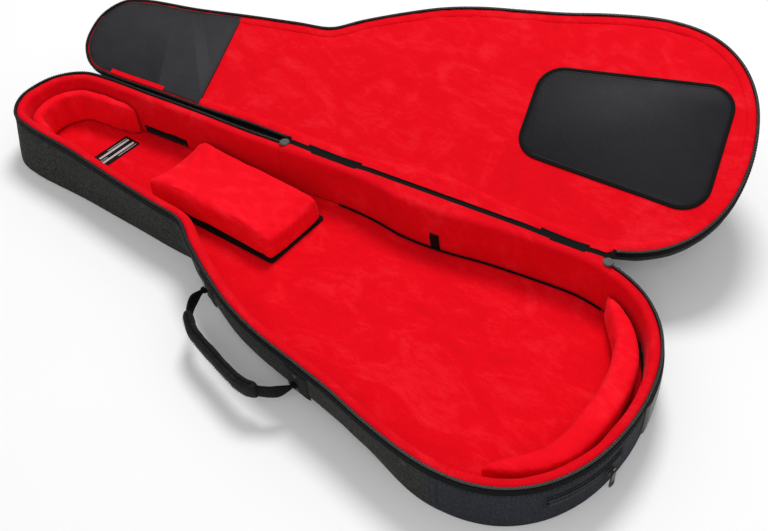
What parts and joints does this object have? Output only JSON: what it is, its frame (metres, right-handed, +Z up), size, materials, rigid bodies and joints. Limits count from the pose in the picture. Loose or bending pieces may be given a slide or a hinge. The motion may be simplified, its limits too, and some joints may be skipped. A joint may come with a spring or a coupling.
{
  "type": "guitar case",
  "caption": "Soft padded electric-guitar case lying open, with a plush-lined tray and lid, a fabric hinge, a side handle, zips, loose cushions and a neck cradle.",
  "frame": {"origin": "on the flat underside of the back panel, below the inside of the head end on the centreline", "axes": "+X from the head end to the tail, +Y across towards the lid's hinge, +Z up out of the tray; the case lies on its back with the lid open"},
  "size_m": [1.0997, 0.761, 0.222],
  "materials": {
    "heather": "charcoal heather woven polyester over foam",
    "smooth": "smooth dark synthetic fabric",
    "plush": "short bright red plush",
    "tape": "black woven tape",
    "coil": "black nylon zip coil",
    "patch": "dark grey synthetic leather patch",
    "rubber": "moulded black bumper",
    "velcro": "black hook-and-loop strip",
    "metal": "dark zip hardware",
    "label": "plain black label"
  },
  "bodies": {
    "base": {"back_panel": "heather", "side_wall": "heather", "tail_wall": "smooth", "lining_near": "plush", "lining_tail": "plush", "lining_far_body": "plush", "lining_far_neck": "plush", "lining_head": "plush", "floor_lining": "plush", "floor_piping": "tape", "floor_label": "label", "wall_tag": "label", "base_zip_tape": "tape", "base_zip_coil": "coil", "hinge_strip_base": "tape", "hinge_fold": "tape", "handle_patch_head": "smooth", "handle_patch_tail": "smooth", "handle_rivet_head_upper": "metal", "handle_rivet_head_lower": "metal", "handle_rivet_tail_upper": "metal", "handle_rivet_tail_lower": "metal", "wall_velcro": "velcro", "head_velcro": "velcro", "tail_velcro": "velcro", "tail_bumper": "rubber", "tail_pocket_welt": "smooth", "tail_pocket_zip": "coil", "zip_slider_head": "metal", "zip_slider_tail": "metal"},
    "lid": {"lid_wall": "heather", "lid_panel": "heather", "lid_lining": "plush", "lid_zip_tape": "tape", "lid_zip_coil": "coil", "hinge_strip_lid": "tape", "headstock_patch": "patch", "bridge_patch": "patch", "bridge_binding": "tape", "lid_tag": "plush", "front_pocket": "heather", "front_pocket_zip": "coil"},
    "front_slider": {"front_pocket_slider": "metal"},
    "front_tab": {"front_pocket_pull": "metal"},
    "handle": {"handle_webbing": "tape", "handle_grip": "heather"},
    "head_cushion": {"head_pad": "plush"},
    "cradle": {"neck_cradle": "plush", "cradle_base": "tape"},
    "tail_cushion": {"tail_pad": "plush"},
    "pocket_slider": {"tail_pocket_slider": "metal"},
    "pocket_tab": {"tail_pocket_pull": "metal"},
    "head_end_tab": {"zip_pull_head": "metal"},
    "tail_end_tab": {"zip_pull_tail": "metal"}
  },
  "joints": [
    {"name": "lid_hinge", "type": "hinge", "parent": "base", "child": "lid", "pos_m": [0, 0.0737, 0.088], "axis": [0.9917, 0.1289, 0], "range_deg": [0, 159]},
    {"name": "front_slider_travel", "type": "slide", "parent": "lid", "child": "front_slider", "axis": [0.9917, 0.1289, 0], "range_m": [-0.004, 0.262]},
    {"name": "front_tab_swing", "type": "hinge", "parent": "front_slider", "child": "front_tab", "pos_m": [0.55285, 0.37866, 0.12381], "axis": [0.9917, 0.1289, 0], "range_deg": [-65, 105]},
    {"name": "handle_swing", "type": "hinge", "parent": "base", "child": "handle", "pos_m": [0.48787, -0.12908, 0.047], "axis": [0.9761, -0.2173, 0], "range_deg": [-60, 42]},
    {"name": "head_cushion_lift", "type": "slide", "parent": "base", "child": "head_cushion", "axis": [0, 0, 1], "range_m": [0, 0.12]},
    {"name": "cradle_lift", "type": "slide", "parent": "base", "child": "cradle", "axis": [0, 0, 1], "range_m": [0, 0.12]},
    {"name": "tail_cushion_lift", "type": "slide", "parent": "base", "child": "tail_cushion", "axis": [0, 0, 1], "range_m": [0, 0.12]},
    {"name": "pocket_slider_travel", "type": "hinge", "parent": "base", "child": "pocket_slider", "pos_m": [0.867, -0.0191, 0.046], "axis": [0, 0, 1], "range_deg": [-22, 3]},
    {"name": "pocket_tab_swing", "type": "hinge", "parent": "pocket_slider", "child": "pocket_tab", "pos_m": [1.06023, -0.05721, 0.046], "axis": [-0.1991, -0.98, 0], "range_deg": [0, 110]},
    {"name": "head_end_tab_swing", "type": "hinge", "parent": "base", "child": "head_end_tab", "pos_m": [0.39187, 0.12693, 0.078], "axis": [0.9887, 0.15, 0], "range_deg": [0, 26]},
    {"name": "tail_end_tab_swing", "type": "hinge", "parent": "base", "child": "tail_end_tab", "pos_m": [0.92771, 0.18855, 0.078], "axis": [0.9853, -0.1707, 0], "range_deg": [0, 40]}
  ]
}
